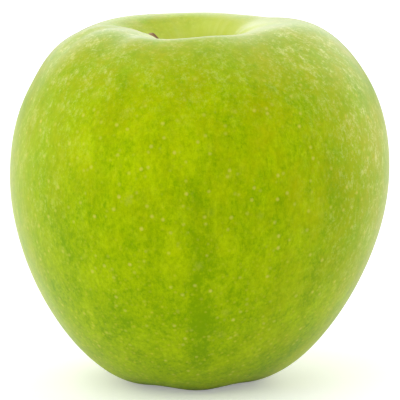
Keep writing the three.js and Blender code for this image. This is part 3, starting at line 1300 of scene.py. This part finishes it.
@dataclass
class Calyx:
    """The dried flower: five sepals that close over the eye, with stamens, style and down."""

    radius: float = 2.4
    seed: int = 7

    sepal_count: int = 5
    sepal_facing: float = -47.0
    sepal_wander: float = 0.12
    sepal_curl: Span = (-0.5, 0.7)
    curl_down: float = 0.4
    sepal_half_width: float = 1.9
    sepal_spread: Span = (0.88, 1.08)
    sepal_narrowing: float = 0.93
    sepal_taper: float = 1.5
    sepal_cup: float = 0.45
    sepal_uncup: float = 0.75
    sepal_thickness: float = 0.28
    crumple: float = 0.16
    crumple_pitch: float = 0.9
    # outwards from the cup's edge, and upwards from the basin floor
    sepal_bends: tuple[Span, ...] = ((-0.8, 0.7), (1.3, -2.1), (-2.0, -3.9), (0.8, -5.5))

    stamen_count: int = 14
    stamen_ring: float = 1.35
    stamen_root: float = 0.6
    stamen_wander: float = 0.2
    stamen_lean: float = 0.5
    stamen_length: Span = (3.4, 4.6)
    # as shares of the ring, of the lean and of the length
    stamen_bends: tuple[tuple[float, ...], ...] = ((1.15, 0, 0.4), (0.7, 0.5, 0.75), (0.55, 1, 1))
    stamen_radius: float = 0.14
    knob_swell: float = 0.16
    knob_fade: Span = (0.8, 0.9)
    knob_rounding: float = 0.12
    knob_end: Span = (0.93, 1.0)
    style_bends: tuple[tuple[float, ...], ...] = (
        (0, 0, 0.8),
        (0.2, 0, -1),
        (-0.1, 0.2, -2),
        (0.1, 0, -3.4),
    )
    style_radius: float = 0.42
    style_taper: float = 0.15

    hair_count: int = 260
    hair_ring: Span = (1.8, 3.6)
    hair_height: Span = (-0.3, 0.35)
    hair_lean: float = 0.6
    hair_drop: Span = (-1.6, -0.7)
    # as shares of the hair's tilt, and inwards in millimetres
    hair_bends: tuple[Span, ...] = ((0.0, 0.0), (0.4, 0.0), (0.8, 0.15), (1.0, 0.35))
    hair_radius: float = 0.045
    hair_taper: float = 0.8

    def build_sepals(self, fruit: Fruit) -> bpy.types.Object:
        """Builds the sepals.

        Args:
            fruit: the fruit that they grew on.

        Returns:
            The sepals, one piece.
        """
        mesh = bmesh.new()
        mesh.loops.layers.uv.new("sepal")
        draw = random.Random(self.seed)
        for number in range(self.sepal_count):
            curl = draw.uniform(*self.sepal_curl)
            corners = [Vector((self.radius + out, 0, up)) for out, up in self.sepal_bends]
            corners[-1] += Vector((curl, 0, self.curl_down * curl))
            turned = math.radians(self.sepal_facing) + TURN * number / self.sepal_count
            turned += draw.uniform(-self.sepal_wander, self.sepal_wander)
            wide = self.sepal_half_width * draw.uniform(*self.sepal_spread)
            add_blade(
                mesh,
                corners,
                half_width=lambda along, wide=wide: wide * self.sepal_share(along),
                cup=self.sepal_curve,
                turned=turned,
            )
        # unlike plain noise, vector noise starts from the clock unless it is seeded
        noise.seed_set(self.seed)
        for vert in mesh.verts:
            vert.co += noise.noise_vector(vert.co * self.crumple_pitch) * self.crumple
        bmesh.ops.translate(mesh, verts=mesh.verts, vec=fruit.on_core(fruit.basin_floor))
        return finish_mesh(mesh, "calyx_sepals")

    def sepal_share(self, along: float) -> float:
        """Width of a sepal as a share of its widest, which falls towards its tip."""
        return 1 - self.sepal_narrowing * along**self.sepal_taper

    def sepal_curve(self, along: float) -> float:
        """How far a sepal's edges stand up, which turns to how far they hang down at its tip."""
        return self.sepal_cup - self.sepal_uncup * along

    def build_threads(self, fruit: Fruit) -> bpy.types.Object:
        """Builds the dried stamens and the style between the sepals.

        Args:
            fruit: the fruit that they grew on.

        Returns:
            The threads, one piece.
        """
        mesh = bmesh.new()
        draw = random.Random(self.seed + 1)
        for number in range(self.stamen_count):
            turn = TURN * number / self.stamen_count + draw.uniform(-self.stamen_wander, self.stamen_wander)
            ring = self.stamen_ring * Vector((math.cos(turn), math.sin(turn), 0))
            lean = Vector([draw.uniform(-self.stamen_lean, self.stamen_lean) for _ in "xy"] + [0])
            down = Vector((0, 0, -draw.uniform(*self.stamen_length)))
            bends = [ring * out + lean * tip + down * drop for out, tip, drop in self.stamen_bends]
            corners = (ring + Vector((0, 0, self.stamen_root)), *bends)
            add_tube(mesh, corners, self.stamen_thickness, sides=6, steps=10)
        style = [Vector(bend) for bend in self.style_bends]
        add_tube(mesh, style, self.style_thickness, sides=10, steps=8)
        bmesh.ops.translate(mesh, verts=mesh.verts, vec=fruit.on_core(fruit.basin_floor))
        return finish_mesh(mesh, "calyx_stamens")

    def stamen_thickness(self, along: float, angle: float) -> float:
        """Radius of a stamen, which ends in a small knob."""
        knob = self.knob_swell * smoothstep(along, *self.knob_fade)
        return self.stamen_radius + knob - self.knob_rounding * smoothstep(along, *self.knob_end)

    def style_thickness(self, along: float, angle: float) -> float:
        """Radius of the style, which thins towards its tip."""
        return self.style_radius - self.style_taper * along

    def hair_thickness(self, along: float, angle: float) -> float:
        """Radius of a hair, which thins towards its tip."""
        return self.hair_radius * (1 - self.hair_taper * along)

    def build_down(self, fruit: Fruit) -> bpy.types.Object:
        """Builds the fine hairs round the eye.

        Args:
            fruit: the fruit that they grew on.

        Returns:
            The hairs, one piece.
        """
        mesh = bmesh.new()
        draw = random.Random(self.seed + 2)
        leans = ((-self.hair_lean, self.hair_lean), (-self.hair_lean, self.hair_lean), self.hair_drop)
        for _ in range(self.hair_count):
            turn = draw.uniform(0, TURN)
            out = Vector((math.cos(turn), math.sin(turn), 0))
            root = out * draw.uniform(*self.hair_ring) + Vector((0, 0, draw.uniform(*self.hair_height)))
            tilt = Vector([draw.uniform(*lean) for lean in leans])
            corners = [root + tilt * share - out * inwards for share, inwards in self.hair_bends]
            add_tube(mesh, corners, self.hair_thickness, sides=3, steps=3)
        bmesh.ops.translate(mesh, verts=mesh.verts, vec=fruit.on_core(fruit.basin_floor))
        return finish_mesh(mesh, "calyx_down")

    def dress(self, sepals: bpy.types.Object, threads: bpy.types.Object, down: bpy.types.Object) -> None:
        """Gives the pieces their finishes and their places in the part.

        Args:
            sepals: the sepals.
            threads: the stamens and the style.
            down: the hairs.
        """
        add_modifiers(sepals, thickness=self.sepal_thickness, levels=2)
        add_modifiers(threads)
        thread = HuskFinish(light=(0.17, 0.10, 0.045), downy=0.1)
        hair = HuskFinish(dark=(0.3, 0.26, 0.18), light=(0.5, 0.46, 0.36))
        sepals.data.materials.append(HuskFinish().material("sepal_husk"))
        threads.data.materials.append(thread.material("stamen_thread"))
        down.data.materials.append(hair.material("calyx_hair"))
        attach(sepals, ["calyx"])
        attach(threads)
        attach(down)


# ---------------------------------------------------------------- the studio


@dataclass(frozen=True)
class Softbox:
    """A large soft light that faces the apple."""

    name: str
    bearing: float
    elevation: float
    distance: float
    width: float
    height: float
    power: float


@dataclass
class Studio:
    """A pale table, soft lights and the camera. Lengths are metres."""

    look_at: Vector = field(default_factory=lambda: Vector((0.00007, 0.0, 0.03642)))
    distance: float = 0.75
    bearing: float = -90.0
    elevation: float = 10.0
    lens: float = 336.3
    sensor: float = 36.0
    world: float = 0.56
    table_half: float = 4.0
    paper: Colour = (0.90, 0.90, 0.90)
    paper_roughness: float = 0.9
    glow: float = 0.30
    boxes: tuple[Softbox, ...] = (
        Softbox("left", 180, 4, 1.0, 1.2, 1.0, 3.4),
        Softbox("right", 20, 20, 1.0, 1.2, 1.0, 5.0),
        Softbox("top", 90, 85, 1.2, 1.4, 1.4, 3.7),
        Softbox("back", 90, 25, 1.4, 2.2, 1.0, 6.6),
        Softbox("front_left", -140, 12, 1.2, 0.8, 0.8, 1.9),
        Softbox("front_high", -115, 48, 1.2, 0.8, 0.8, 1.9),
        Softbox("high_left", 180, 50, 1.2, 0.9, 0.9, 2.5),
    )

    def build(self) -> None:
        """Sets up floor, lights and camera."""
        self.build_floor()
        self.build_world()
        for box in self.boxes:
            self.build_softbox(box)
        self.build_camera()
        bpy.context.scene.view_settings.view_transform = "Standard"

    def build_floor(self) -> None:
        """Lays the table. It can be seen through from below, so that the base shows in views from there."""
        mesh = bmesh.new()
        bmesh.ops.create_grid(mesh, x_segments=1, y_segments=1, size=self.table_half / MM)
        floor = finish_mesh(mesh, "floor")
        shader = Shader("pale_table")
        plain = {"Base Color": (*self.paper, 1), "Roughness": self.paper_roughness}
        glowing = plain | {"Emission Color": WHITE, "Emission Strength": self.glow}
        sides = [shader.value(shader.node("BsdfPrincipled", inputs=look)) for look in (plain, glowing)]
        clear = shader.value(shader.node("BsdfTransparent"))
        behind = shader.value(shader.node("NewGeometry"), "Backfacing")
        one_sided = shader.node("MixShader", inputs={0: behind, 1: shader.by_sight(*sides), 2: clear})
        floor.data.materials.append(shader.close(shader.value(one_sided)))

    def build_world(self) -> None:
        """Fills the room with an even dim light, and shows white beyond the table."""
        world = bpy.data.worlds.new("room")
        bpy.context.scene.world = world
        world.use_nodes = True
        room = NodeTree(world.node_tree)
        light, white = (
            room.value(room.node("Background", inputs={"Color": WHITE, "Strength": strength}))
            for strength in (self.world, 1.0)
        )
        room.node("OutputWorld", inputs={"Surface": room.by_sight(light, white)})

    def build_softbox(self, box: Softbox) -> None:
        """Hangs one light so that it faces the apple.

        Args:
            box: the light.
        """
        data = bpy.data.lights.new(box.name, "AREA")
        data.shape = "RECTANGLE"
        data.size, data.size_y = box.width, box.height
        data.energy = box.power
        light = bpy.data.objects.new("light_" + box.name, data)
        self.place(light, box.bearing, box.elevation, box.distance)
        light.visible_camera = False

    def build_camera(self) -> None:
        """Stands the camera in front of the apple, a little above it."""
        data = bpy.data.cameras.new("camera")
        data.lens = self.lens
        data.sensor_width = self.sensor
        camera = bpy.data.objects.new("camera", data)
        self.place(camera, self.bearing, self.elevation, self.distance)
        bpy.context.scene.camera = camera

    def place(self, looker: bpy.types.Object, bearing: float, elevation: float, distance: float) -> None:
        """Puts a light or the camera in the scene so that it faces the apple.

        Args:
            looker: the light or the camera.
            bearing: where it stands, in degrees round the apple.
            elevation: how far it stands above the horizon, in degrees.
            distance: how far away it is.
        """
        bpy.context.scene.collection.objects.link(looker)
        away = self.direction(bearing, elevation)
        looker.location = self.look_at + away * distance
        looker.rotation_mode = "QUATERNION"
        looker.rotation_quaternion = away.to_track_quat("Z", "Y")

    @staticmethod
    def direction(bearing: float, elevation: float) -> Vector:
        """The unit vector towards a bearing and an elevation in degrees."""
        turn, rise = math.radians(bearing), math.radians(elevation)
        return Vector((math.cos(turn) * math.cos(rise), math.sin(turn) * math.cos(rise), math.sin(rise)))


def report(piece: bpy.types.Object) -> None:
    """Logs a finished piece."""
    LOG.info("%s: %d faces before smoothing", piece.name, len(piece.data.polygons))


def main() -> None:
    """Builds the apple and its studio, piece by piece."""
    logging.basicConfig(level=logging.INFO, format="%(name)s: %(message)s")
    Studio().build()
    fruit = Fruit()
    skin = fruit.build()
    fruit.dress(skin)
    report(skin)
    stem = Stem()
    rod = stem.build(fruit)
    stem.dress(rod)
    report(rod)
    calyx = Calyx()
    husks = (calyx.build_sepals(fruit), calyx.build_threads(fruit), calyx.build_down(fruit))
    calyx.dress(*husks)
    for husk in husks:
        report(husk)


if __name__ == "__main__":
    main()
